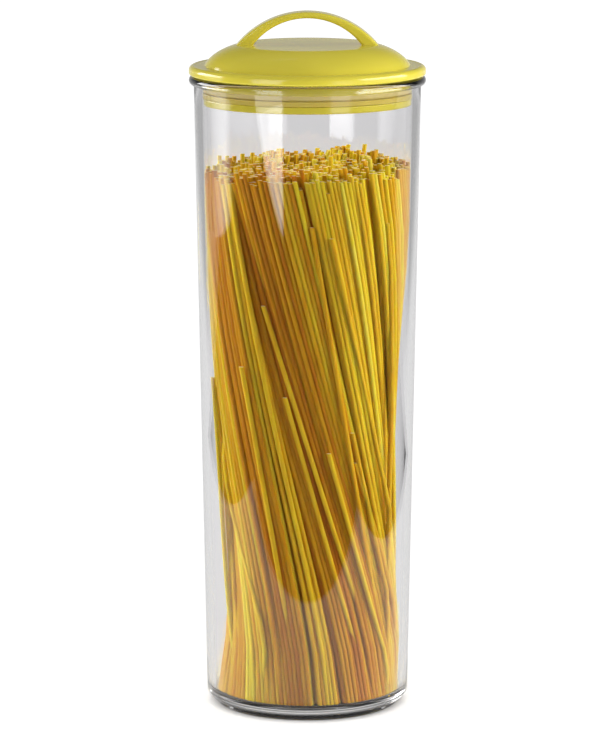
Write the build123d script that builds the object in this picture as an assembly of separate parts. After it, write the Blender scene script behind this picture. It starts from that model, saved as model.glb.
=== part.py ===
from build123d import *
import math
import os

# Tall round food canister: a clear acrylic body, a yellow lid whose plug and silicone
# seal push into the mouth, and the dry spaghetti that the canister is made for.
# Millimetres. The origin is the middle of the foot's underside, +Z is up, and the
# handle's arch spans X.

# Driving dimensions of the clear body
LIP_RADIUS = 54.0  # widest radius, shared by the body's rim and the lid's flange
RIM_TOP = 291.7  # height of the body's open rim
WALL = 3.6  # thickness of the clear wall
WALL_FOOT_RADIUS = 46.45  # outer radius of the wall carried down to height 0
WALL_DRAFT = 0.0186  # growth of the wall's radius for each unit of height
FLOOR_TOP = 6.0  # height of the floor inside
FOOT_HEIGHT = 2.0
FOOT_RADIUS = 42.0

# Driving dimensions of the lid
FLANGE_BOTTOM = 292.15
FLANGE_TOP = 296.7
DOME_RADIUS = 46.9  # where the dome rises from the flange
DOME_START = 296.3
PLATEAU_RADIUS = 32.0  # flat top of the dome, which carries the handle
PLATEAU = 305.7
SHELL = 2.4  # thickness of the lid's shell
SKIRT_RADIUS = 46.6  # short skirt under the flange, which keeps the seal down on the plug
SKIRT_BOTTOM = 288.0

# Driving dimensions of the plug and the seal
PLUG_BOTTOM = 279.0
PLUG_LIP_RADIUS = 47.4
PLUG_LIP_TOP = 282.2
NECK_RADIUS = 45.0  # the seal sits round this neck
NECK_WALL = 2.0
RUNNING_GAP = 0.08  # radial clearance between the neck and the seal
SEAL_TOP = 287.6
RIB_GAP = 0.25  # clearance between the seal's ribs and the clear wall

# Driving dimensions of the handle
HANDLE_TOP = 320.7
HANDLE_OUTER_ARC = 42.0
HANDLE_INNER_TOP = 317.9
HANDLE_INNER_ARC = 31.1
HANDLE_DEPTH = 12.0
PEG_RADIUS = 2.5
PEG_LENGTH = 5.2

# Driving dimensions of the contents
BUNDLE_TOP = 256.0
BUNDLE_TOP_RADIUS = 46.8
BUNDLE_WAIST_RADIUS = 39.0
BUNDLE_WAIST_HEIGHT = 95.0
BUNDLE_FOOT_RADIUS = 41.2
BUNDLE_CLEARANCE = 0.3  # air under the bundle and beside it


def wall_outside(height):
    """Outer radius of the clear wall at a height."""
    return WALL_FOOT_RADIUS + WALL_DRAFT * height


def wall_inside(height):
    """Inner radius of the clear wall at a height."""
    return wall_outside(height) - WALL


def turned(outline):
    """Solid turned about Z from a closed outline drawn with X as radius and Y as height."""
    return revolve(Plane.XZ * make_face(outline), Axis.Z)


def rounded_outline(corners):
    """Closed outline from (radius, height, corner rounding) triples."""
    places = [(radius, height) for radius, height, rounding in corners]
    roundings = [rounding for radius, height, rounding in corners]
    return FilletPolyline(*places, radius=roundings, close=True)


def canister_body():
    """Clear cup in one moulding: foot ring, floor, tapered wall and beaded rim."""
    bead_radius = 2.1
    bead_middle = RIM_TOP - bead_radius
    bead_centre = LIP_RADIUS - bead_radius
    corner_rounding = 4.5
    recess_radius = 38.6
    recess_height = 1.7
    cup = rounded_outline(
        [
            (0, recess_height, 0),
            (recess_radius, recess_height, 0.6),
            (recess_radius + 0.5, 0, 0.45),
            (FOOT_RADIUS, 0, 0.7),
            (FOOT_RADIUS, FOOT_HEIGHT, 0),
            (wall_outside(FOOT_HEIGHT), FOOT_HEIGHT, corner_rounding),
            (wall_outside(bead_middle), bead_middle, 0),
            (bead_centre, RIM_TOP, 0),
            (wall_inside(RIM_TOP), RIM_TOP, 0.9),
            (wall_inside(FLOOR_TOP), FLOOR_TOP, 3.0),
            (0, FLOOR_TOP, 0),
        ]
    )
    bead_circle = Pos(bead_centre, bead_middle) * Circle(bead_radius)
    bead = revolve(Plane.XZ * bead_circle, Axis.Z)
    return turned(cup) + bead


def peg_places():
    """The handle's two pegs, in the middle of the handle's feet."""
    outer_centre = HANDLE_TOP - HANDLE_OUTER_ARC
    inner_centre = HANDLE_INNER_TOP - HANDLE_INNER_ARC
    outer_foot = math.sqrt(HANDLE_OUTER_ARC**2 - (PLATEAU - outer_centre) ** 2)
    inner_foot = math.sqrt(HANDLE_INNER_ARC**2 - (PLATEAU - inner_centre) ** 2)
    middle = (outer_foot + inner_foot) / 2
    return [(-middle, 0), (middle, 0)]


def lid_shell():
    """Yellow lid top: rounded flange, dome, flat plateau, and a spigot and a skirt for the plug."""
    spigot_radius = NECK_RADIUS - NECK_WALL
    spigot_inside = spigot_radius - 1.8
    spigot_bottom = 286.5
    boss_radius = 4.4
    boss_height = PEG_LENGTH - SHELL / 2
    under_plateau = PLATEAU - SHELL
    dome = Bezier(
        (DOME_RADIUS, DOME_START),
        (44.3, 301.3),
        (37.2, 304.4),
        (PLATEAU_RADIUS, PLATEAU),
    )
    dome_inside = Bezier(
        (PLATEAU_RADIUS - 1.0, under_plateau),
        (36.2, 302.0),
        (spigot_inside, 300.5),
        (spigot_inside, 297.0),
    )
    top = Polyline((PLATEAU_RADIUS, PLATEAU), (0, PLATEAU), (0, under_plateau), dome_inside @ 0)
    skirt_inside = NECK_RADIUS + RUNNING_GAP
    flange = FilletPolyline(
        dome_inside @ 1,
        (spigot_inside, spigot_bottom),
        (spigot_radius, spigot_bottom),
        (spigot_radius, FLANGE_BOTTOM),
        (skirt_inside, FLANGE_BOTTOM),
        (skirt_inside, SKIRT_BOTTOM),
        (SKIRT_RADIUS, SKIRT_BOTTOM),
        (SKIRT_RADIUS, FLANGE_BOTTOM),
        (LIP_RADIUS, FLANGE_BOTTOM),
        (LIP_RADIUS, FLANGE_TOP),
        (DOME_RADIUS + 3.6, FLANGE_TOP - 0.45),
        dome @ 0,
        radius=[0.5, 0.5, 0, 0, 0.2, 0.4, 0.3, 0.8, 2.2, 5.0],
    )
    shell = turned(dome + top + dome_inside + flange)
    for x, y in peg_places():
        boss = Pos(x, y, PLATEAU - PEG_LENGTH) * Cylinder(
            boss_radius, boss_height, align=(Align.CENTER, Align.CENTER, Align.MIN)
        )
        shell = shell + boss
    for x, y in peg_places():
        shell = shell - Pos(x, y, PLATEAU) * Cylinder(PEG_RADIUS, 4 * PEG_LENGTH)
    return shell


def lid_handle():
    """Crescent arch between two concentric-looking arcs, with a peg under each foot."""
    outer_disc = Pos(0, HANDLE_TOP - HANDLE_OUTER_ARC) * Circle(HANDLE_OUTER_ARC)
    inner_disc = Pos(0, HANDLE_INNER_TOP - HANDLE_INNER_ARC) * Circle(HANDLE_INNER_ARC)
    above_plateau = Pos(0, PLATEAU) * Rectangle(
        2 * HANDLE_OUTER_ARC, HANDLE_TOP, align=(Align.CENTER, Align.MIN)
    )
    crescent = (outer_disc & above_plateau) - inner_disc
    arch = extrude(Plane.XZ * crescent, HANDLE_DEPTH / 2, both=True)
    rounded_edges = arch.edges().filter_by(GeomType.CIRCLE)
    arch = fillet(rounded_edges, 1.3)
    for x, y in peg_places():
        peg = Pos(x, y, PLATEAU - PEG_LENGTH) * Cylinder(
            PEG_RADIUS, PEG_LENGTH + 0.5, align=(Align.CENTER, Align.CENTER, Align.MIN)
        )
        arch = arch + peg
    return arch


def lid_plug():
    """Closed inner cap: a flat bottom, a lip under the seal and a neck up to the flange."""
    neck_inside = NECK_RADIUS - NECK_WALL + 0.02
    recess_radius = 36.0
    recess_depth = 0.7
    return turned(
        rounded_outline(
            [
                (0, PLUG_BOTTOM + recess_depth, 0),
                (recess_radius, PLUG_BOTTOM + recess_depth, 0.6),
                (recess_radius + 1.2, PLUG_BOTTOM, 0.6),
                (PLUG_LIP_RADIUS, PLUG_BOTTOM, 0.8),
                (PLUG_LIP_RADIUS, PLUG_LIP_TOP, 0.5),
                (NECK_RADIUS, PLUG_LIP_TOP, 0.2),
                (NECK_RADIUS, FLANGE_BOTTOM, 0),
                (neck_inside, FLANGE_BOTTOM, 0),
                (neck_inside, PLUG_BOTTOM + 2.6, 1.0),
                (0, PLUG_BOTTOM + 2.6, 0),
            ]
        )
    )


def seal_ring():
    """Silicone seal: a sleeve round the plug's neck with two broad ribs that face the wall."""
    inside = NECK_RADIUS + RUNNING_GAP
    groove_radius = NECK_RADIUS + 1.25
    bottom = PLUG_LIP_TOP + 0.15
    rib_radius = wall_inside(bottom) - RIB_GAP
    groove_middle = (bottom + SEAL_TOP) / 2
    groove_mouth = 0.35  # half of the groove's height at the ribs' faces
    groove_root = 0.25
    return turned(
        rounded_outline(
            [
                (inside, SEAL_TOP, 0.2),
                (inside, bottom, 0.2),
                (rib_radius, bottom, 0.3),
                (rib_radius, groove_middle - groove_mouth, 0.3),
                (groove_radius, groove_middle - groove_root, 0.1),
                (groove_radius, groove_middle + groove_root, 0.1),
                (rib_radius, groove_middle + groove_mouth, 0.3),
                (rib_radius, SEAL_TOP, 0.3),
            ]
        )
    )


def spaghetti_bundle():
    """Closed outer shape of the loose spaghetti: full width at the top, drawn in at the waist."""
    foot = FLOOR_TOP + BUNDLE_CLEARANCE
    foot_corner = foot + 3.0
    side = ThreePointArc(
        (BUNDLE_FOOT_RADIUS, foot_corner),
        (BUNDLE_WAIST_RADIUS, BUNDLE_WAIST_HEIGHT),
        (BUNDLE_TOP_RADIUS, BUNDLE_TOP - 4.0),
    )
    ends = Polyline(
        side @ 1,
        (BUNDLE_TOP_RADIUS, BUNDLE_TOP),
        (0, BUNDLE_TOP),
        (0, foot),
        (BUNDLE_FOOT_RADIUS - 2.5, foot),
        side @ 0,
    )
    return turned(side + ends)


SUB_PARTS = {
    "canister_body": canister_body,
    "lid_shell": lid_shell,
    "lid_handle": lid_handle,
    "lid_plug": lid_plug,
    "seal_ring": seal_ring,
    "spaghetti_bundle": spaghetti_bundle,
}

os.makedirs("parts", exist_ok=True)
for name, make in SUB_PARTS.items():
    part = make()
    part.label = name
    export_step(part, f"parts/{name}.step")
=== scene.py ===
import math

import bpy
import numpy as np
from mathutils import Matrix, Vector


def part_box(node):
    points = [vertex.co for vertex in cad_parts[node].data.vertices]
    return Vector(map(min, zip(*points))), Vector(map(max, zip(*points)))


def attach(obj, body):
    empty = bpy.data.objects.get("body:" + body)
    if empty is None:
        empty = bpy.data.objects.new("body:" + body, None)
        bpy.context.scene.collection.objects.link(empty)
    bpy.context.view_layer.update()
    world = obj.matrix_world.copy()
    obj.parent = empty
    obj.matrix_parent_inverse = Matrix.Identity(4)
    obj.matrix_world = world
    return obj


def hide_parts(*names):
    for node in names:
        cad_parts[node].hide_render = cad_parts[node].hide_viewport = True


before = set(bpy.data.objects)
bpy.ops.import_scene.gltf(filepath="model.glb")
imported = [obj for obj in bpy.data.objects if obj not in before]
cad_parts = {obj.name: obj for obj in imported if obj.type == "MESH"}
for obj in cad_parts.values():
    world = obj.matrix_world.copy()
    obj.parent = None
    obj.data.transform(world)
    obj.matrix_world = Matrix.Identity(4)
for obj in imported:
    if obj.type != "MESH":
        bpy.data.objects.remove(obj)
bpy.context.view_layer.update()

MM = 0.001

# ---------------------------------------------------------------- sizes, in metres
LIP_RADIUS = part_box("canister_body")[1].x
RIM_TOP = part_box("canister_body")[1].z
BUNDLE_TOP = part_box("spaghetti_bundle")[1].z
PLUG_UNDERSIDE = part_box("lid_plug")[0].z
WALL = 3.6 * MM
WALL_FOOT_RADIUS = 46.45 * MM
WALL_DRAFT = 0.0186
FLOOR_TOP = 6.0 * MM
FOOT_HEIGHT = 2.0 * MM
FOOT_RADIUS = 42.0 * MM

STRAND_RADIUS = 1.07 * MM
STRAND_SPACING = 1.8 * MM  # neighbours push each other this far apart
STRAND_LEVELS = 13  # heights at which the strands are laid out together
STRAND_ROWS = 11  # rings of vertices along a finished strand
STRAND_SIDES = 8
STRAND_GROUPS = 12
STRAND_FOOT = FLOOR_TOP + 0.9 * MM
STRAND_HEAD = BUNDLE_TOP - 6.5 * MM
OFF_THE_WALL = 0.35 * MM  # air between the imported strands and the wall
HEAD_RADIUS = 46.0 * MM
FOOT_SPREAD = 41.0 * MM
FULL_RING_RADIUS = 34.5 * MM  # sets how many strands the outermost ring has
RING_STEP = 2.3 * MM
FRONT = math.radians(-90)

# ---------------------------------------------------------------- brightness of the set
SEEN_THROUGH_GLOW = 0.475  # the floor's glow where it shows through the clear wall


def wall_outside(height):
    """Outer radius of the clear wall at a height."""
    return WALL_FOOT_RADIUS + WALL_DRAFT * height


def wall_inside(height):
    """Inner radius of the clear wall at a height."""
    return wall_outside(height) - WALL


# ---------------------------------------------------------------- node helpers
def new_material(name):
    """A node material with an empty tree and its output node."""
    material = bpy.data.materials.new(name)
    material.use_nodes = True
    tree = material.node_tree
    tree.nodes.clear()
    output = tree.nodes.new("ShaderNodeOutputMaterial")
    return material, tree, output


def add(tree, kind, **values):
    """A node with input sockets or properties set by name, spaces written as underscores."""
    node = tree.nodes.new(kind)
    for key, value in values.items():
        socket = node.inputs.get(key.replace("_", " "))
        if socket is not None:
            socket.default_value = value
        else:
            setattr(node, key, value)
    return node


def join(tree, source, target):
    """Links an output socket to an input socket."""
    tree.links.new(source, target)


def feed(tree, value, socket):
    """Gives an input socket a number, or links another socket to it."""
    if isinstance(value, (int, float)):
        socket.default_value = value
    else:
        join(tree, value, socket)


def object_place(tree, scale=(1, 1, 1)):
    """Object coordinates, stretched per axis."""
    place = add(tree, "ShaderNodeTexCoord")
    mapping = add(tree, "ShaderNodeMapping", Scale=scale)
    join(tree, place.outputs["Object"], mapping.inputs["Vector"])
    return mapping.outputs["Vector"]


def part_of(tree, vector, axis):
    """One axis of a vector."""
    node = add(tree, "ShaderNodeSeparateXYZ")
    join(tree, vector, node.inputs["Vector"])
    return node.outputs[axis]


def noise(tree, vector, scale, detail=3.0, roughness=0.5):
    """Grey noise at places given by a vector."""
    node = add(tree, "ShaderNodeTexNoise", Scale=scale, Detail=detail, Roughness=roughness)
    join(tree, vector, node.inputs["Vector"])
    return node.outputs["Fac"]


def ranged(tree, value, low, high, from_low=0.3, from_high=0.7):
    """Maps a grey value onto low..high."""
    node = add(
        tree,
        "ShaderNodeMapRange",
        From_Min=from_low,
        From_Max=from_high,
        To_Min=low,
        To_Max=high,
    )
    join(tree, value, node.inputs["Value"])
    return node.outputs["Result"]


def ramp(tree, value, stops):
    """Colour ramp from (position, colour) stops."""
    node = tree.nodes.new("ShaderNodeValToRGB")
    elements = node.color_ramp.elements
    while len(elements) < len(stops):
        elements.new(0.5)
    for element, (position, colour) in zip(elements, stops):
        element.position = position
        element.color = (*colour, 1)
    join(tree, value, node.inputs["Fac"])
    return node.outputs["Color"]


def bump(tree, height, strength, distance):
    """Normal of a surface with small heights on it."""
    node = add(tree, "ShaderNodeBump", Strength=strength, Distance=distance)
    join(tree, height, node.inputs["Height"])
    return node.outputs["Normal"]


def maths(tree, operation, *values):
    """Result of a maths node, each value a number or a socket."""
    node = add(tree, "ShaderNodeMath", operation=operation)
    for value, socket in zip(values, node.inputs):
        feed(tree, value, socket)
    return node.outputs[0]


def blend(tree, weight, low, high):
    """low where the weight is 0 and high where it is 1, each a number or a socket."""
    node = add(tree, "ShaderNodeMix", data_type="FLOAT")
    join(tree, weight, node.inputs["Factor"])
    feed(tree, low, node.inputs["A"])
    feed(tree, high, node.inputs["B"])
    return node.outputs["Result"]


def blend_colours(tree, weight, low, high):
    """Colour low where the weight is 0 and high where it is 1, each a colour or a socket."""
    node = add(tree, "ShaderNodeMix", data_type="RGBA")
    join(tree, weight, node.inputs["Factor"])
    for name, value in (("A", low), ("B", high)):
        if isinstance(value, tuple):
            node.inputs[name].default_value = (*value, 1)
        else:
            join(tree, value, node.inputs[name])
    return node.outputs["Result"]


def blend_shaders(tree, weight, low, high):
    """Shader low where the weight is 0 and high where it is 1."""
    node = add(tree, "ShaderNodeMixShader")
    join(tree, weight, node.inputs["Fac"])
    join(tree, low, node.inputs[1])
    join(tree, high, node.inputs[2])
    return node.outputs["Shader"]


def bounces(tree, depth_name):
    """How many bounces of a kind the path from the eye has had."""
    return add(tree, "ShaderNodeLightPath").outputs[depth_name]


def none_of(tree, depth_name):
    """1 where the path from the eye has had no bounce of a kind yet, or else 0."""
    return maths(tree, "LESS_THAN", bounces(tree, depth_name), 0.5)


def once(tree, depth_name):
    """1 where the path from the eye has had exactly one bounce of a kind, or else 0."""
    return maths(tree, "COMPARE", bounces(tree, depth_name), 1, 0.5)


# ---------------------------------------------------------------- materials
def clear_acrylic():
    """Polished clear acrylic that lets the lamps through to the contents."""
    material, tree, output = new_material("clear_acrylic_polished")
    glass = add(
        tree,
        "ShaderNodeBsdfPrincipled",
        Base_Color=(0.985, 0.98, 0.988, 1),
        IOR=1.49,
        Roughness=0.01,
        Transmission_Weight=1.0,
    )
    waviness = noise(tree, object_place(tree, (1, 1, 0.35)), 28, 2)
    join(tree, bump(tree, waviness, 0.02, 0.4 * MM), glass.inputs["Normal"])
    clear = add(tree, "ShaderNodeBsdfTransparent", Color=(0.98, 0.98, 0.985, 1))
    shadow = add(tree, "ShaderNodeLightPath").outputs["Is Shadow Ray"]
    surface = blend_shaders(tree, shadow, glass.outputs["BSDF"], clear.outputs["BSDF"])
    join(tree, surface, output.inputs["Surface"])
    return material


def painted_light_band(tree, height):
    """Mask of painted light: 1 on the skirt and the neck, between the plug's lip and the flange,
    where the flange shades them, or else 0.
    """
    flange_under = RIM_TOP + 0.45 * MM
    below_flange = ranged(tree, height, 1, 0, flange_under, flange_under + 0.8 * MM)
    above_lip = ranged(tree, height, 0, 1, PLUG_UNDERSIDE + 4 * MM, PLUG_UNDERSIDE + 8 * MM)
    return maths(tree, "MULTIPLY", below_flange, above_lip)


def yellow_plastic():
    """Glossy moulded yellow plastic, with a faint flow variation and a fine orange peel.

    It is paler on the band under the flange: painted light that lifts the shade the flange casts
    there. The band shows only through the wall.
    """
    material, tree, output = new_material("yellow_plastic_moulded")
    shader = add(
        tree,
        "ShaderNodeBsdfPrincipled",
        IOR=1.52,
        Subsurface_Weight=0.12,
        Subsurface_Scale=1.0,
        Subsurface_Radius=(2.0 * MM, 1.4 * MM, 0.3 * MM),
    )
    place = object_place(tree)
    flow = noise(tree, place, 35, 3)
    colour = ramp(tree, flow, [(0.3, (0.70, 0.60, 0.055)), (0.7, (0.74, 0.635, 0.065))])
    painted_light_mask = painted_light_band(tree, part_of(tree, place, "Z"))
    # painted light: a paler yellow on the band that the flange shades
    colour = blend_colours(tree, painted_light_mask, colour, (0.95, 0.83, 0.10))
    join(tree, colour, shader.inputs["Base Color"])
    haze = noise(tree, place, 220, 4)
    join(tree, ranged(tree, haze, 0.11, 0.15), shader.inputs["Roughness"])
    peel = noise(tree, place, 900, 2)
    join(tree, bump(tree, peel, 0.08, 0.05 * MM), shader.inputs["Normal"])
    join(tree, shader.outputs["BSDF"], output.inputs["Surface"])
    return material


def seal_silicone():
    """Translucent silicone: golden low down, a painted glow where the plug's lip shines through,
    and tan above.
    """
    material, tree, output = new_material("seal_silicone_milky")
    shader = add(
        tree,
        "ShaderNodeBsdfPrincipled",
        IOR=1.41,
        Subsurface_Weight=0.6,
        Subsurface_Scale=1.0,
        Subsurface_Radius=(1.5 * MM, 1.2 * MM, 0.5 * MM),
    )
    place = object_place(tree)
    cloud = noise(tree, place, 160, 3)
    seal_low, seal_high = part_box("seal_ring")
    # painted glow: golden low down, turning tan with height; the cloud adds the milkiness
    rise = ranged(tree, part_of(tree, place, "Z"), -0.15, 0.85, seal_low.z, seal_high.z)
    milkiness_and_painted_glow = maths(tree, "MULTIPLY_ADD", cloud, 0.3, rise)
    golden, tan = (0.62, 0.49, 0.095), (0.65, 0.535, 0.215)
    colour = ramp(tree, milkiness_and_painted_glow, [(0.35, golden), (0.65, tan)])
    join(tree, colour, shader.inputs["Base Color"])
    join(tree, ranged(tree, cloud, 0.3, 0.4), shader.inputs["Roughness"])
    join(tree, shader.outputs["BSDF"], output.inputs["Surface"])
    return material


def softened_normal(tree, normal, share, cut):
    """The normal leant towards straight out from the bundle's axis, except on the cut ends."""
    outward = add(tree, "ShaderNodeVectorMath", operation="MULTIPLY")
    join(tree, add(tree, "ShaderNodeTexCoord").outputs["Object"], outward.inputs[0])
    outward.inputs[1].default_value = (1, 1, 0)
    unit = add(tree, "ShaderNodeVectorMath", operation="NORMALIZE")
    join(tree, outward.outputs["Vector"], unit.inputs[0])
    leant = add(tree, "ShaderNodeMix", data_type="VECTOR")
    join(tree, blend(tree, cut, share, 0.0), leant.inputs["Factor"])
    join(tree, normal, leant.inputs["A"])
    join(tree, unit.outputs["Vector"], leant.inputs["B"])
    leant_unit = add(tree, "ShaderNodeVectorMath", operation="NORMALIZE")
    join(tree, leant.outputs["Result"], leant_unit.inputs[0])
    return leant_unit.outputs["Vector"]


def dry_pasta():
    """Dry spaghetti: amber and slightly waxy, a tone per strand that also carries painted shade,
    fine draw marks, pale cut ends.
    """
    material, tree, output = new_material("dry_pasta_amber")
    shader = add(
        tree,
        "ShaderNodeBsdfPrincipled",
        IOR=1.5,
        Specular_IOR_Level=0.25,
        Subsurface_Weight=0.8,
        Subsurface_Scale=1.0,
        Subsurface_Radius=(0.85 * MM, 0.7 * MM, 0.25 * MM),
    )
    tone_and_shade = add(tree, "ShaderNodeAttribute", attribute_name="strand_tone_and_shade").outputs["Fac"]
    cut = add(tree, "ShaderNodeAttribute", attribute_name="cut_end").outputs["Fac"]
    along = noise(tree, object_place(tree, (1, 1, 0.06)), 420, 3)
    specks = noise(tree, object_place(tree), 900, 2)
    # The dark end of these colours is painted shade: the brown-red of shadowed gaps between
    # strands.
    shades = [
        (0.2, (0.56, 0.205, 0.003)),
        (0.6, (0.77, 0.42, 0.009)),
        (0.95, (0.90, 0.70, 0.03)),
        (1.25, (0.92, 0.74, 0.045)),
        (1.55, (0.94, 0.76, 0.07)),
    ]
    colour = ramp(tree, maths(tree, "MULTIPLY_ADD", along, 0.45, tone_and_shade), shades)
    colour = blend_colours(tree, cut, colour, (0.93, 0.80, 0.40))
    join(tree, colour, shader.inputs["Base Color"])
    join(tree, ranged(tree, specks, 0.38, 0.55), shader.inputs["Roughness"])
    rough_normal = bump(tree, specks, 0.25, 0.06 * MM)
    join(tree, softened_normal(tree, rough_normal, 0.45, cut), shader.inputs["Normal"])
    join(tree, shader.outputs["BSDF"], output.inputs["Surface"])
    return material


# ---------------------------------------------------------------- turned pieces
def rounded_corner(here, before, after, rounding, step):
    """Points round one corner of an outline, between the directions to its neighbours."""
    half = math.acos(float(np.clip(before @ after, -1, 1))) / 2
    middle = before + after
    middle /= np.linalg.norm(middle)
    centre = here + middle * rounding / math.sin(half)
    reach = rounding / math.tan(half)
    first = here + before * reach - centre
    last = here + after * reach - centre
    turn = math.atan2(first[0] * last[1] - first[1] * last[0], float(first @ last))
    chords = max(2, math.ceil(abs(turn) / step))
    points = []
    for k in range(chords + 1):
        angle = turn * k / chords
        cos, sin = math.cos(angle), math.sin(angle)
        x = centre[0] + first[0] * cos - first[1] * sin
        y = centre[1] + first[0] * sin + first[1] * cos
        points.append((x, y))
    return points


def rounded_outline(corners, step=math.radians(9)):
    """Closed outline from (radius, height, rounding) triples, each rounding cut into chords."""
    points = []
    count = len(corners)
    for i, (r, z, rounding) in enumerate(corners):
        here = np.array((r, z))
        if rounding == 0:
            points.append(tuple(here))
            continue
        before = np.array(corners[i - 1][:2]) - here
        after = np.array(corners[(i + 1) % count][:2]) - here
        before /= np.linalg.norm(before)
        after /= np.linalg.norm(after)
        points += rounded_corner(here, before, after, rounding, step)
    return points


def arc_points(centre, radius, start, end, count):
    """Points on an arc, angles in degrees from +radius towards +height."""
    angles = np.radians(np.linspace(start, end, count))
    return [(centre[0] + radius * math.cos(a), centre[1] + radius * math.sin(a)) for a in angles]


def turned_rings(outline, segments):
    """Vertices of an outline turned about Z, and each point's ring of vertex numbers."""
    on_axis = 1e-7
    vertices = []
    rings = []
    for r, z in outline:
        if r < on_axis:
            rings.append([len(vertices)])
            vertices.append((0, 0, z))
            continue
        rings.append(list(range(len(vertices), len(vertices) + segments)))
        for k in range(segments):
            angle = 2 * math.pi * k / segments
            vertices.append((r * math.cos(angle), r * math.sin(angle), z))
    return vertices, rings


def ring_faces(rings, segments):
    """Faces between each ring and the next, fans where a ring is one point on the axis."""
    faces = []
    for a, b in zip(rings, rings[1:] + rings[:1]):
        if len(a) == 1 and len(b) == 1:
            continue
        for k in range(segments):
            n = (k + 1) % segments
            if len(a) == 1:
                faces.append((a[0], b[k], b[n]))
            elif len(b) == 1:
                faces.append((a[n], a[k], b[0]))
            else:
                faces.append((a[n], a[k], b[k], b[n]))
    return faces


def turned(name, outline, segments, sharp_angle=32):
    """Closed mesh turned about Z from a closed outline of (radius, height) points."""
    vertices, rings = turned_rings(outline, segments)
    mesh = bpy.data.meshes.new(name)
    mesh.from_pydata(vertices, [], ring_faces(rings, segments))
    mesh.validate()
    piece = bpy.data.objects.new(name, mesh)
    bpy.context.scene.collection.objects.link(piece)
    bpy.context.view_layer.objects.active = piece
    bpy.ops.object.mode_set(mode="EDIT")
    bpy.ops.mesh.select_all(action="SELECT")
    bpy.ops.mesh.normals_make_consistent(inside=False)
    bpy.ops.object.mode_set(mode="OBJECT")
    mesh.shade_smooth()
    mesh.set_sharp_from_angle(angle=math.radians(sharp_angle))
    return piece


def cup_outline():
    """The cup's section: foot, outer wall, beaded rim, inner wall and floor."""
    bead_radius = 2.1 * MM
    bead_height = RIM_TOP - bead_radius
    bead_centre = LIP_RADIUS - bead_radius
    recess_radius = 38.6 * MM
    recess_height = 1.7 * MM
    lip_rounding = 0.9 * MM
    wall_rows = 24
    lower = rounded_outline(
        [
            (0, recess_height, 0),
            (recess_radius, recess_height, 0.6 * MM),
            (recess_radius + 0.5 * MM, 0, 0.45 * MM),
            (FOOT_RADIUS, 0, 0.7 * MM),
            (FOOT_RADIUS, FOOT_HEIGHT, 0),
            (wall_outside(FOOT_HEIGHT), FOOT_HEIGHT, 4.5 * MM),
            (wall_outside(bead_height), bead_height, 0),
            (wall_inside(bead_height), bead_height, 0),
            (wall_inside(FLOOR_TOP), FLOOR_TOP, 3.0 * MM),
            (0, FLOOR_TOP, 0),
        ]
    )
    outer_end = lower.index((wall_outside(bead_height), bead_height))
    foot_part, floor_part = lower[:outer_end], lower[outer_end + 2 :]
    under_bead = bead_height - bead_radius * 0.98
    outer_rows = np.linspace(foot_part[-1][1], under_bead, wall_rows)[1:]
    outer = [(wall_outside(z), z) for z in outer_rows]
    bead = arc_points((bead_centre, bead_height), bead_radius, -82, 90, 20)
    inner_top = RIM_TOP - lip_rounding
    lip = arc_points((wall_inside(RIM_TOP) + lip_rounding, inner_top), lip_rounding, 90, 180, 7)
    inner_rows = np.linspace(inner_top, floor_part[0][1], wall_rows)[1:-1]
    inner = [(wall_inside(z), z) for z in inner_rows]
    return foot_part + outer + bead + lip + inner + floor_part


def clear_body():
    """The clear cup as one smooth turned mesh: foot, floor, wall and beaded rim."""
    piece = turned("clear_body", cup_outline(), 240)
    piece.data.materials.append(clear_acrylic())
    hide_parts("canister_body")
    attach(piece, "canister")
    return piece


# ---------------------------------------------------------------- spaghetti
def past_front(azimuth, offset=0):
    """Angle from the front, or from offset degrees past it, within half a turn each way."""
    return (azimuth - FRONT - math.radians(offset) + math.pi) % (2 * math.pi) - math.pi


def hump(angle, width):
    """1 at an angle of 0, falling away over a width in degrees."""
    return np.exp(-((angle / math.radians(width)) ** 2))


def twist_at(middle):
    """How far a strand turns round the bundle from head to foot, by its azimuth at half height.

    The strands at the front left stand straighter than the others.
    """
    straighter = 26 * hump(past_front(middle, -42), 24)
    stronger = 8 * hump(past_front(middle, 15), 30)
    return np.radians(78 - straighter + stronger)


def sheet_places(centre, twist, size, count, head_radius, foot_radius):
    """Head and foot places of the strands of one sheet in a ring of count strands.

    The sheet keeps closer together than the ring does, so wedges open between sheets.
    """
    head_share, foot_share = 0.80, 0.88
    heads, feet = [], []
    for k in range(size):
        offset = 2 * math.pi * (k + 0.5 - size / 2) / count
        head = centre - twist / 2 + head_share * offset
        foot = centre + twist / 2 + foot_share * offset
        heads.append((head_radius * math.cos(head), head_radius * math.sin(head)))
        feet.append((foot_radius * math.cos(foot), foot_radius * math.sin(foot)))
    return heads, feet


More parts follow.
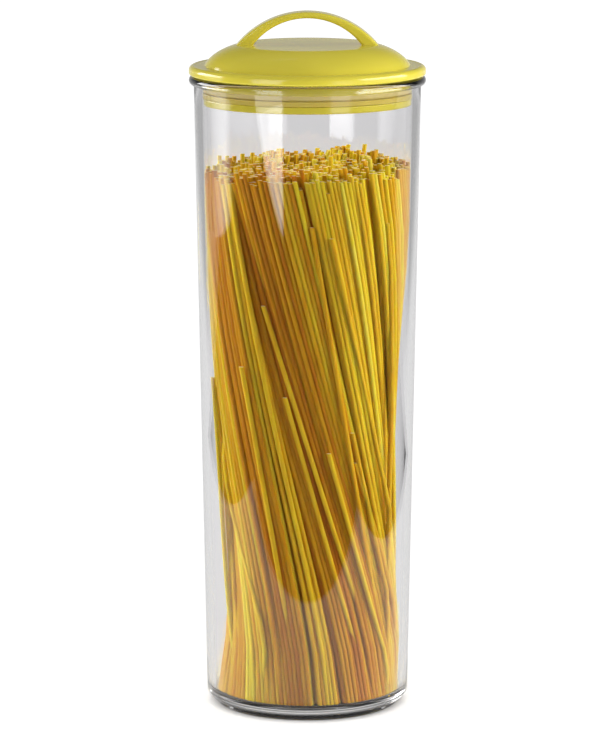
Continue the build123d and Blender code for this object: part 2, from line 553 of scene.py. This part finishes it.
def strand_plan(rng):
    """Head and foot places, top heights and tones of the strands, sheet by sheet.

    Concentric rings are filled with sheets of a few strands side by side. Each sheet has its own
    twist, depth, height and tone, and each strand differs a little from it. The tone also carries
    painted shade: it is darker at the front, and one sheet in five is dark, for strands in shadow.
    """
    heads, feet, tops, tones_and_shades = [], [], [], []
    for ring in range(int(HEAD_RADIUS / RING_STEP)):
        share = 1 - ring * RING_STEP / HEAD_RADIUS
        count = int(2 * math.pi * FULL_RING_RADIUS * share / STRAND_SPACING)
        start = rng.uniform(0, 2 * math.pi)
        first = 0
        while first < count:
            size = min(int(rng.integers(2, 8)), count - first)
            centre = start + 2 * math.pi * (first + size / 2) / count
            twist = twist_at(centre) + rng.normal(0, math.radians(5))
            inward = rng.normal(0, 1.1 * MM)
            top = rng.normal(0, (0.7 if ring < 2 else 1.6) * MM)
            # Painted shade: one sheet in five gets a dark tone, for strands shadowed deeper in the
            # bundle.
            tone_and_shade = rng.uniform(0.48, 0.75) if rng.uniform() < 0.8 else rng.uniform(0.2, 0.4)
            # Painted shade: the sheets at the front are darker, where the middle of the bundle gets
            # less light.
            tone_and_shade -= 0.4 * hump(past_front(centre), 26)
            head_radius = share * HEAD_RADIUS + inward
            foot_radius = share * FOOT_SPREAD + inward
            places = sheet_places(centre, twist, size, count, head_radius, foot_radius)
            heads += places[0]
            feet += places[1]
            tops += [top] * size
            tones_and_shades += [tone_and_shade] * size
            first += size
    heads = np.array(heads) + rng.normal(0, 0.35 * MM, (len(heads), 2))
    feet = np.array(feet) + rng.normal(0, 0.35 * MM, (len(feet), 2))
    tops = np.array(tops) + rng.normal(0, 0.9 * MM, len(tops))
    tones_and_shades = np.clip(np.array(tones_and_shades) + rng.normal(0, 0.11, len(tones_and_shades)), -0.1, 1)
    return heads, feet, tops, tones_and_shades


def near_pairs(places, reach):
    """Index pairs of places nearer than reach to each other."""
    squares = ((places[:, None] - places[None]) ** 2).sum(-1)
    return np.nonzero(np.triu(squares < reach**2, 1))


def pushes(lines, pairs):
    """How the pairs of strands that stand too close at each level push each other apart."""
    push = np.zeros_like(lines)
    for level, (a, b) in enumerate(pairs):
        apart = lines[a, level] - lines[b, level]
        distance = np.linalg.norm(apart, axis=1) + 1e-9
        overlap = np.maximum(STRAND_SPACING - distance, 0)
        move = apart * (0.5 * overlap / distance)[:, None]
        np.add.at(push[:, level], a, move)
        np.add.at(push[:, level], b, -move)
    return push


def stiff_smoothing():
    """Matrix that turns a strand's places at the levels into a stiff, gentle curve."""
    share = np.linspace(-1, 1, STRAND_LEVELS)
    bow = 1.5 * share**2 - 0.5
    wave = 2.5 * share**3 - 1.5 * share
    basis = np.stack([np.ones_like(share), share, bow, wave], 1)
    stiffness = np.diag([0, 0, 0.25, 1.5])
    return basis @ np.linalg.solve(basis.T @ basis + stiffness, basis.T)


def kept_inside(heights, lines, foot_limit):
    """The lines, moved in where they would touch the wall or the rounded corner of the floor."""
    limit = wall_inside(heights) - STRAND_RADIUS - OFF_THE_WALL
    limit[0] = foot_limit
    radius = np.linalg.norm(lines, axis=2)
    return lines / np.maximum(radius / limit[None], 1)[..., None]


def strand_lines(heads, feet):
    """Heights, and the strands' centre lines as an array (strand, level, xy), in metres.

    Each strand runs straight from its head to its foot, and then the strands push each other
    apart while each keeps a stiff, gentle curve.
    """
    heights = np.linspace(STRAND_FOOT, STRAND_HEAD, STRAND_LEVELS)
    down = (STRAND_HEAD - heights) / (STRAND_HEAD - STRAND_FOOT)
    goal = heads[:, None] * (1 - down)[None, :, None] + feet[:, None] * down[None, :, None]
    lines = goal.copy()
    smooth = stiff_smoothing()
    reach = 1.6 * STRAND_SPACING
    rounds = 72
    for turn in range(rounds):
        if turn % 8 == 0:
            pairs = [near_pairs(lines[:, level], reach) for level in range(STRAND_LEVELS)]
        lines = lines + 0.75 * pushes(lines, pairs) + 0.01 * (goal - lines)
        lines = np.einsum("jk,ikc->ijc", smooth, lines)
        lines = kept_inside(heights, lines, 40.2 * MM)
    return heights, lines


def fit_outline(heights, lines):
    """Moves the strands sideways so that the bundle fills its outline at each height."""
    z = [7, 30, 60, 100, 140, 180, 215, 249]
    left = [41.0, 37.5, 34.6, 35.2, 38.0, 41.5, 44.6, 46.3]
    right = [43.4, 42.3, 40.2, 39.2, 40.2, 42.6, 45.6, 47.0]
    depth = [42.0, 38.5, 35.0, 33.5, 35.0, 38.5, 42.5, 46.8]
    at = heights / MM

    def curve(values):
        return np.polyval(np.polyfit(z, values, 4), at) * MM - STRAND_RADIUS

    left_now = -np.percentile(lines[..., 0], 0.5, axis=0)
    right_now = np.percentile(lines[..., 0], 99.5, axis=0)
    deep_now = np.percentile(np.abs(lines[..., 1]), 98.8, axis=0)
    share = (lines[..., 0] + left_now) / (left_now + right_now)
    lines[..., 0] = -curve(left) + share * (curve(left) + curve(right))
    lines[..., 1] *= curve(depth) / deep_now
    return kept_inside(heights, lines, 40.9 * MM)


def head_heights(places, sheet_tops, rng):
    """Top height of each strand from its head's place: the back ones stand a little higher."""
    x, y = places[:, 0], places[:, 1]
    tops = 248.6 * MM + 0.03 * x + sheet_tops
    tops += 1.6 * MM * np.clip(y / HEAD_RADIUS + 0.1, 0, 1)
    chance = rng.uniform(0, 1, len(tops))
    tops += np.where(chance < 0.05, rng.uniform(2.0, 4.0, len(tops)) * MM, 0)
    tops -= np.where(chance > 0.9, rng.uniform(2.0, 6.0, len(tops)) * MM, 0)
    return np.minimum(tops, BUNDLE_TOP - 0.3 * MM)


def strand_paths(heights, lines, tops):
    """Each strand's path as rows of x, y, z from its foot to its own top."""
    paths = []
    for line, top in zip(lines, tops):
        rows = np.linspace(STRAND_FOOT, top, STRAND_ROWS)
        fit = [np.polyfit(heights, line[:, axis], 5) for axis in (0, 1)]
        paths.append(np.stack([np.polyval(fit[0], rows), np.polyval(fit[1], rows), rows], 1))
    return paths


def front_of_bundle(heights, sideways, inward, rows, place):
    """Depth of the foremost strand next to each place of a path, smoothed along the path."""
    beside = 1.7 * MM
    front = []
    for height, x in zip(rows, place):
        level = int(np.argmin(np.abs(heights - height)))
        near = np.abs(sideways[:, level] - x) < beside
        near &= inward[:, level] < 0
        front.append(inward[near, level].min() if near.any() else -20 * MM)
    return np.polyval(np.polyfit(rows, front, 3), rows)


def laid_over(heights, lines, azimuth, across, top, lean):
    """A loose strand that lies over the others where the bundle faces an azimuth.

    across is where its top is, sideways from the middle, and lean is how far it goes sideways
    for each unit down. It sinks between the others towards its foot.
    """
    lifted, sunk = 1.7 * MM, 5 * MM
    sinks_below = top * 0.45
    turn = math.radians(azimuth)
    cos, sin = math.cos(turn), math.sin(turn)
    sideways = lines[..., 0] * cos + lines[..., 1] * sin
    inward = -lines[..., 0] * sin + lines[..., 1] * cos
    rows = np.linspace(STRAND_FOOT, top, STRAND_ROWS)
    place = np.minimum(across + lean * (top - rows), wall_inside(rows) - 8 * MM)
    depth = front_of_bundle(heights, sideways, inward, rows, place) - lifted
    depth = depth + np.clip((sinks_below - rows) / sinks_below, 0, 1) * sunk
    limit = wall_inside(rows) - STRAND_RADIUS - 0.3 * MM
    scale = 1 / np.maximum(np.hypot(place, depth) / limit, 1)
    place, depth = place * scale, depth * scale
    return np.stack([place * cos - depth * sin, place * sin + depth * cos, rows], 1)


def loose_strands(heights, lines, rng):
    """Shorter strands that lie over the bundle, at the front and all round it."""
    short = [
        (-19.5, 191, 0.30),
        (-29.0, 163, 0.17),
        (-10.0, 149, 0.27),
        (20.0, 132, 0.20),
        (9.5, 123, 0.26),
        (2.0, 228, 0.16),
        (11.0, 223, 0.20),
        (36.0, 228, 0.02),
    ]
    paths = [
        laid_over(heights, lines, 0, across * MM, top * MM, lean) for across, top, lean in short
    ]
    for azimuth in range(70, 320, 28):
        across = rng.uniform(-24, 16) * MM
        top = rng.uniform(110, 230) * MM
        paths.append(laid_over(heights, lines, azimuth, across, top, rng.uniform(0.12, 0.3)))
    return paths


def free_strands():
    """Three strands free of the bundle at the left, through (x, y, height) points in mm."""
    routes = [
        [(-43.4, -5, 153), (-40.6, -6, 118), (-38.4, -8, 78), (-35.5, -11, 45), (-31, -14, 7)],
        [(-41.7, -3, 149), (-38.9, -4, 118), (-36.2, -7, 80), (-30, -13, 7)],
        [(-45.7, 0, 250), (-43.4, 1, 165), (-38.9, 1, 118), (-34, -2, 60), (-33, -6, 7)],
    ]
    paths = []
    for route in routes:
        points = np.array(route, float) * MM
        rows = np.linspace(STRAND_FOOT, points[0, 2], STRAND_ROWS + 4)
        fit = [np.polyfit(points[:, 2], points[:, axis], 3) for axis in (0, 1)]
        paths.append(np.stack([np.polyval(fit[0], rows), np.polyval(fit[1], rows), rows], 1))
    return paths


def side_faces(base, rows, left, width, cap_height):
    """Faces of a strand's side from its first vertex number, and their corners in its UV strip."""
    faces, strips = [], []
    for row in range(rows - 1):
        low = base + row * STRAND_SIDES
        v_low = cap_height + (1 - 2 * cap_height) * row / (rows - 1)
        v_high = cap_height + (1 - 2 * cap_height) * (row + 1) / (rows - 1)
        for k in range(STRAND_SIDES):
            n = (k + 1) % STRAND_SIDES
            faces.append((low + k, low + n, low + STRAND_SIDES + n, low + STRAND_SIDES + k))
            u_low = left + width * (0.1 + 0.8 * k / STRAND_SIDES)
            u_high = left + width * (0.1 + 0.8 * (k + 1) / STRAND_SIDES)
            strips += [(u_low, v_low), (u_high, v_low), (u_high, v_high), (u_low, v_high)]
    return faces, strips


def strand_mesh(name, paths, tones_and_shades):
    """One mesh of separate closed strands along the given paths, each with its own strip of UVs."""
    vertices, faces, tone_and_shade_values, cut_values, strips = [], [], [], [], []
    angles = np.linspace(0, 2 * math.pi, STRAND_SIDES, endpoint=False)
    ring = np.stack([np.cos(angles), np.sin(angles)], 1) * STRAND_RADIUS
    width = 1 / len(paths)
    cap_height = 0.01
    for number, (path, tone_and_shade) in enumerate(zip(paths, tones_and_shades)):
        base = len(vertices)
        rows = len(path)
        left = number * width
        for x, y, z in path:
            vertices += [(x + dx, y + dy, z) for dx, dy in ring]
        sides, side_strips = side_faces(base, rows, left, width, cap_height)
        faces += sides
        strips += side_strips
        tone_and_shade_values += [tone_and_shade] * (rows * STRAND_SIDES)
        cut_values += [0.0] * (rows * STRAND_SIDES)
        for row, upward in ((0, False), (rows - 1, True)):
            first = base + row * STRAND_SIDES
            cap = len(vertices)
            vertices += vertices[first : first + STRAND_SIDES]
            loop = list(range(cap, cap + STRAND_SIDES))
            faces.append(tuple(loop if upward else loop[::-1]))
            tone_and_shade_values += [tone_and_shade] * STRAND_SIDES
            cut_values += [1.0] * STRAND_SIDES
            v_middle = 1 - cap_height / 2 if upward else cap_height / 2
            for dx, dy in (ring if upward else ring[::-1]) / STRAND_RADIUS:
                u = left + width * (0.5 + 0.35 * dx)
                strips.append((u, v_middle + 0.4 * cap_height * dy))
    mesh = bpy.data.meshes.new(name)
    mesh.from_pydata(vertices, [], faces)
    for attribute, values in (("strand_tone_and_shade", tone_and_shade_values), ("cut_end", cut_values)):
        layer = mesh.attributes.new(attribute, "FLOAT", "POINT")
        layer.data.foreach_set("value", np.array(values, np.float32))
    layer = mesh.uv_layers.new(name="OFBake")
    layer.data.foreach_set("uv", np.array(strips, np.float32).ravel())
    mesh.shade_smooth()
    piece = bpy.data.objects.new(name, mesh)
    bpy.context.scene.collection.objects.link(piece)
    return piece


def all_strands():
    """Paths and tones of every strand; the packed strands' tones carry painted shade."""
    rng = np.random.default_rng(11)
    heads, feet, sheet_tops, tones_and_shades = strand_plan(rng)
    heights, lines = strand_lines(heads, feet)
    lines = fit_outline(heights, lines)
    tops = head_heights(lines[:, -1], sheet_tops, rng)
    packed = strand_paths(heights, lines, tops)
    loose = loose_strands(heights, lines, rng)
    loose_tints = rng.uniform(0.4, 0.62, len(loose))
    free_tints = [0.75, 0.6, 0.7]
    return packed + loose + free_strands(), np.concatenate([tones_and_shades, loose_tints, free_tints])


def spaghetti():
    """The loose strands, in groups that each take one sector of the bundle."""
    paths, tones_and_shades = all_strands()
    material = dry_pasta()
    ends = np.array([path[-1] for path in paths])
    turn = (np.arctan2(ends[:, 1], ends[:, 0]) + math.pi) / (2 * math.pi)
    sector = np.clip((turn * STRAND_GROUPS).astype(int), 0, STRAND_GROUPS - 1)
    pieces = []
    for group in range(STRAND_GROUPS):
        members = np.nonzero(sector == group)[0]
        name = f"spaghetti_sector_{group + 1:02d}"
        piece = strand_mesh(name, [paths[i] for i in members], tones_and_shades[members])
        piece.data.materials.append(material)
        if group == 0:
            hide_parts("spaghetti_bundle")
        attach(piece, "spaghetti")
        pieces.append(piece)
    return pieces


# ---------------------------------------------------------------- CAD pieces that stay
def dress(node, material):
    """Gives a CAD node that stays its finished material."""
    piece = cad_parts[node]
    for slot in piece.material_slots:
        slot.material = material


# ---------------------------------------------------------------- floor and room
def stage_sheet(name, vertices, faces, material):
    """A flat piece of the set, which isn't part of the object."""
    mesh = bpy.data.meshes.new(name)
    mesh.from_pydata(vertices, [], faces)
    mesh.materials.append(material)
    sheet = bpy.data.objects.new(name, mesh)
    bpy.context.scene.collection.objects.link(sheet)
    return sheet


def floor_glow(tree, aside):
    """The floor's own glow, by how the eye sees it.

    It is bright to the bare eye and less so through the wall. Far to each side it fades in
    mirrors, and fades through the wall where a mirror is in the way.
    """
    seen, lighting = 0.7, 0.35
    fade_from, fade_to = 0.62, 0.78
    mirrored = ranged(tree, aside, 0.4, 0.0, fade_from, fade_to)
    outside = blend(tree, none_of(tree, "Glossy Depth"), mirrored, seen)
    at_edges = ranged(tree, aside, SEEN_THROUGH_GLOW, 0.16, fade_from, fade_to)
    inside = blend(tree, none_of(tree, "Glossy Depth"), at_edges, SEEN_THROUGH_GLOW)
    glow = blend(tree, none_of(tree, "Transmission Depth"), inside, outside)
    return blend(tree, none_of(tree, "Diffuse Depth"), lighting, glow)


def floor_white():
    """Pale floor that glows, with a contact shadow that reaches further through the wall's foot."""
    material, tree, output = new_material("floor_white")
    place = add(tree, "ShaderNodeTexCoord").outputs["Object"]
    length = add(tree, "ShaderNodeVectorMath", operation="LENGTH")
    join(tree, place, length.inputs[0])
    distance = length.outputs["Value"]
    contact = ranged(tree, distance, 0, 1, 38 * MM, 47 * MM)
    wide_contact = ranged(tree, distance, 0, 1, 42 * MM, 66 * MM)
    open_floor = blend(tree, none_of(tree, "Transmission Depth"), wide_contact, contact)
    colour = blend_colours(tree, open_floor, (0.07, 0.05, 0.04), (0.9, 0.9, 0.9))
    diffuse = add(tree, "ShaderNodeBsdfDiffuse")
    join(tree, colour, diffuse.inputs["Color"])
    aside = maths(tree, "ABSOLUTE", part_of(tree, place, "X"))
    emission = add(tree, "ShaderNodeEmission")
    glow = maths(tree, "MULTIPLY", floor_glow(tree, aside), open_floor)
    join(tree, glow, emission.inputs["Strength"])
    both = add(tree, "ShaderNodeAddShader")
    join(tree, diffuse.outputs["BSDF"], both.inputs[0])
    join(tree, emission.outputs["Emission"], both.inputs[1])
    join(tree, both.outputs["Shader"], output.inputs["Surface"])
    return material


def mirror_only(name, colour):
    """Matte finish that shows only in single reflections and lets the eye through."""
    material, tree, output = new_material(name)
    diffuse = add(tree, "ShaderNodeBsdfDiffuse", Color=(*colour, 1))
    clear = add(tree, "ShaderNodeBsdfTransparent")
    mirrored = once(tree, "Glossy Depth")
    surface = blend_shaders(tree, mirrored, clear.outputs["BSDF"], diffuse.outputs["BSDF"])
    join(tree, surface, output.inputs["Surface"])
    return material


def ground():
    """Pale floor, and a dark sheet round the canister that shows only in reflections."""
    far = 12.0
    low = -0.05 * MM
    floor = stage_sheet(
        "floor",
        [(-far, -far, low), (far, -far, low), (far, far, low), (-far, far, low)],
        [(0, 1, 2, 3)],
        floor_white(),
    )
    left, right, front, back = -0.45, 0.37, -0.25, 0.45
    over = 0.5 * MM
    room = stage_sheet(
        "dark_room",
        [
            (left, front, over),
            (right, front, over),
            (right, back, over),
            (left, back, over),
            (-far, -far, over),
            (far, -far, over),
            (far, back, over),
            (-far, back, over),
        ],
        [(0, 4, 5, 1), (1, 5, 6, 2), (3, 7, 4, 0)],
        mirror_only("dark_room_matte", (0.02, 0.02, 0.022)),
    )
    room.visible_shadow = False
    return floor


def room_light():
    """White to the eye, soft light for matte surfaces and dark in mirrors, as in a dark studio."""
    seen, seen_through = 1.0, 0.74
    mirrored, mirrored_through, mirrored_again = 0.12, 0.35, 0.45
    soft, soft_inside = 0.45, 0.3
    world = bpy.data.worlds.new("studio_world")
    world.use_nodes = True
    tree = world.node_tree
    background = tree.nodes["Background"]
    background.inputs["Color"].default_value = (1, 1, 1, 1)
    to_eye = blend(tree, none_of(tree, "Transmission Depth"), seen_through, seen)
    in_mirror = blend(tree, none_of(tree, "Transmission Depth"), mirrored_through, mirrored)
    in_mirrors = blend(tree, once(tree, "Glossy Depth"), mirrored_again, in_mirror)
    sharp = blend(tree, none_of(tree, "Glossy Depth"), in_mirrors, to_eye)
    on_matte = blend(tree, none_of(tree, "Transmission Depth"), soft_inside, soft)
    strength = blend(tree, none_of(tree, "Diffuse Depth"), on_matte, sharp)
    join(tree, strength, background.inputs["Strength"])
    bpy.context.scene.world = world


# ---------------------------------------------------------------- lamps and cards
def around(azimuth, distance):
    """Floor plan point at an azimuth from the front, positive towards +X, in degrees."""
    angle = math.radians(azimuth)
    return (distance * math.sin(angle), -distance * math.cos(angle))


def soft_lamp(name, shape, size, watts):
    """Area lamp for matte surfaces only, which shines down from the origin."""
    lamp = bpy.data.lights.new(name, "AREA")
    lamp.shape = shape
    lamp.size = size
    lamp.energy = watts
    light = bpy.data.objects.new(name, lamp)
    light.visible_camera = False
    light.visible_glossy = False
    light.visible_transmission = False
    bpy.context.scene.collection.objects.link(light)
    return light


def panel(name, azimuths, distance, low, high, watts):
    """Soft upright lamp between two azimuths, from a low to a high edge."""
    start = np.array(around(azimuths[0], distance))
    end = np.array(around(azimuths[1], distance))
    x, y = (start + end) / 2
    light = soft_lamp(name, "RECTANGLE", float(np.linalg.norm(end - start)), watts)
    light.data.size_y = high - low
    light.location = (x, y, (low + high) / 2)
    light.rotation_euler = (math.radians(90), 0, math.atan2(y, x) + math.radians(90))
    return light


def floor_lamp(name, azimuth, distance, watts):
    """Soft lamp just over the floor that lights the underside of the lid's flange."""
    light = soft_lamp(name, "DISK", 0.2, watts)
    x, y = around(azimuth, distance)
    light.location = (x, y, 0.01)
    upward = math.atan2(distance, RIM_TOP)
    light.rotation_euler = (math.pi - upward, 0, math.atan2(y, x) + math.radians(90))
    return light


def keep_off(lights, things):
    """Leaves things out of what the lamps light."""
    skipped = bpy.data.collections.new("not_lit_by_lamps")
    for thing in things:
        skipped.objects.link(thing)
    for entry in skipped.collection_objects:
        entry.light_linking.link_state = "EXCLUDE"
    for light in lights:
        light.light_linking.receiver_collection = skipped


def only_for(lights, things):
    """Lets lamps light only the given things."""
    lit = bpy.data.collections.new("lit_by_own_lamps")
    for thing in things:
        lit.objects.link(thing)
    for light in lights:
        light.light_linking.receiver_collection = lit


def lamps(floor, strands):
    """Lamps for the lid and the plug from outside, and others for what needs its own light."""
    outer_lamps = [
        panel("lamp_left", (-92, -130), 1.6, 0.1, 1.1, 14),
        panel("lamp_right", (46, 112), 1.6, 0.1, 1.1, 22),
        panel("lamp_front_left", (-30, -62), 2.0, 0.1, 1.1, 4.5),
        panel("lamp_front", (-12, 26), 2.2, 0.5, 1.3, 1),
    ]
    keep_off(outer_lamps, [floor, *strands])
    pasta_lamps = [
        panel("pasta_left", (-66, -124), 1.6, 0.1, 1.2, 42),
        panel("pasta_right", (54, 108), 1.6, 0.1, 1.2, 38),
    ]
    only_for(pasta_lamps, strands)
    plug_lamps = [
        panel("plug_left", (-20, -90), 1.6, 0.1, 0.6, 11),
        panel("plug_right", (20, 90), 1.6, 0.1, 0.6, 11),
    ]
    only_for(plug_lamps, [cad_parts["lid_plug"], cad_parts["seal_ring"]])
    rim_lamps = [floor_lamp(f"rim_{azimuth}", azimuth, 0.16, 0.2) for azimuth in (-60, 0, 60, 180)]
    only_for(rim_lamps, [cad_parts["lid_shell"]])
    head_lamp = soft_lamp("head_lamp", "DISK", 0.08, 0.01)
    head_lamp.location = (0, 0, PLUG_UNDERSIDE - 2 * MM)
    only_for([head_lamp], strands)


def card_finish(name):
    """Glows as its mesh says in a mirror, and lets everything else through."""
    material, tree, output = new_material(name)
    emission = add(tree, "ShaderNodeEmission")
    glow = add(tree, "ShaderNodeAttribute", attribute_name="glow").outputs["Fac"]
    join(tree, glow, emission.inputs["Strength"])
    clear = add(tree, "ShaderNodeBsdfTransparent")
    unmirrored = none_of(tree, "Glossy Depth")
    surface = blend_shaders(tree, unmirrored, emission.outputs["Emission"], clear.outputs["BSDF"])
    join(tree, surface, output.inputs["Surface"])
    return material


def card(name, ends, rows, soft=(0.1, 0.1)):
    """Upright lit card that shows only in reflections.

    ends are two (azimuth, distance) places, rows are (height, radiance) pairs from the bottom,
    and soft is the share of the width over which each side fades out.
    """
    start, end = (np.array(around(*place)) for place in ends)
    columns = [(0, 0), (soft[0], 1), (1 - soft[1], 1), (1, 0)]
    vertices = []
    glow = []
    for height, radiance in rows:
        for share, weight in columns:
            x, y = start + share * (end - start)
            vertices.append((x, y, height))
            glow.append(radiance * weight)
    width = len(columns)
    faces = [
        (r * width + c, r * width + c + 1, (r + 1) * width + c + 1, (r + 1) * width + c)
        for r in range(len(rows) - 1)
        for c in range(width - 1)
    ]
    sheet = stage_sheet(name, vertices, faces, card_finish(name + "_glow"))
    layer = sheet.data.attributes.new("glow", "FLOAT", "POINT")
    layer.data.foreach_set("value", np.array(glow, np.float32))
    sheet.visible_camera = False
    sheet.visible_diffuse = False
    sheet.visible_shadow = False


def cards():
    """The cards that give the wall and the lid their reflections."""
    card(
        "card_left",
        ((-88, 1.85), (-134, 1.85)),
        ((0.16, 0), (0.2, 3), (0.3, 6), (0.45, 7.5), (1.0, 7.5), (1.1, 0)),
    )
    card(
        "card_left_low",
        ((-87, 1.43), (-123, 1.43)),
        ((0, 1.8), (0.02, 2.2), (0.18, 2.2), (0.2, 0)),
        (0.12, 0.7),
    )
    card(
        "card_strip",
        ((-25, 1.27), (-55.5, 2.07)),
        ((0, 0), (0.006, 3.6), (0.1, 3.8), (0.25, 3.9), (1.0, 3.9), (1.1, 0)),
        (0.01, 0.15),
    )
    card(
        "card_right",
        ((50, 1.7), (114, 1.7)),
        ((0.1, 0), (0.13, 1.2), (0.22, 1.8), (0.35, 6.5), (0.5, 7.5), (1.1, 7.5), (1.15, 0)),
    )
    card(
        "card_front_right",
        ((22, 1.77), (46.5, 1.77)),
        ((0, 0), (0.02, 1.4), (0.05, 2.4), (0.12, 2.2), (0.2, 0.7), (1.0, 0.7)),
        (0.12, 0.2),
    )
    card(
        "card_back",
        ((130, 4.0), (230, 4.0)),
        ((0, 0.8), (0.3, 0.6), (0.8, 0.35), (1.4, 0.1), (2.5, 0.05)),
    )
    card(
        "card_overhead",
        ((-150.5, 0.78), (-178, 0.71)),
        ((1.545, 0), (1.565, 2.6), (1.59, 2.6), (1.61, 0)),
    )


# ---------------------------------------------------------------- camera
def camera():
    """Long lens in front of the canister, a little above it and tilted down."""
    distance, height, tilt = 1.9, 0.491, 9.95
    lens = bpy.data.cameras.new("camera")
    lens.sensor_width = 36
    lens.lens = 206.53
    lens.shift_x = -0.010137
    lens.clip_end = 50
    viewer = bpy.data.objects.new("camera", lens)
    viewer.location = (0, -distance, height)
    viewer.rotation_euler = (math.radians(90 - tilt), 0, 0)
    bpy.context.scene.collection.objects.link(viewer)
    bpy.context.scene.camera = viewer
    bpy.context.scene.view_settings.view_transform = "Standard"


clear_body()
yellow = yellow_plastic()
for node in ("lid_shell", "lid_handle", "lid_plug"):
    dress(node, yellow)
dress("seal_ring", seal_silicone())
strands = spaghetti()

floor = ground()
room_light()
lamps(floor, strands)
cards()
camera()
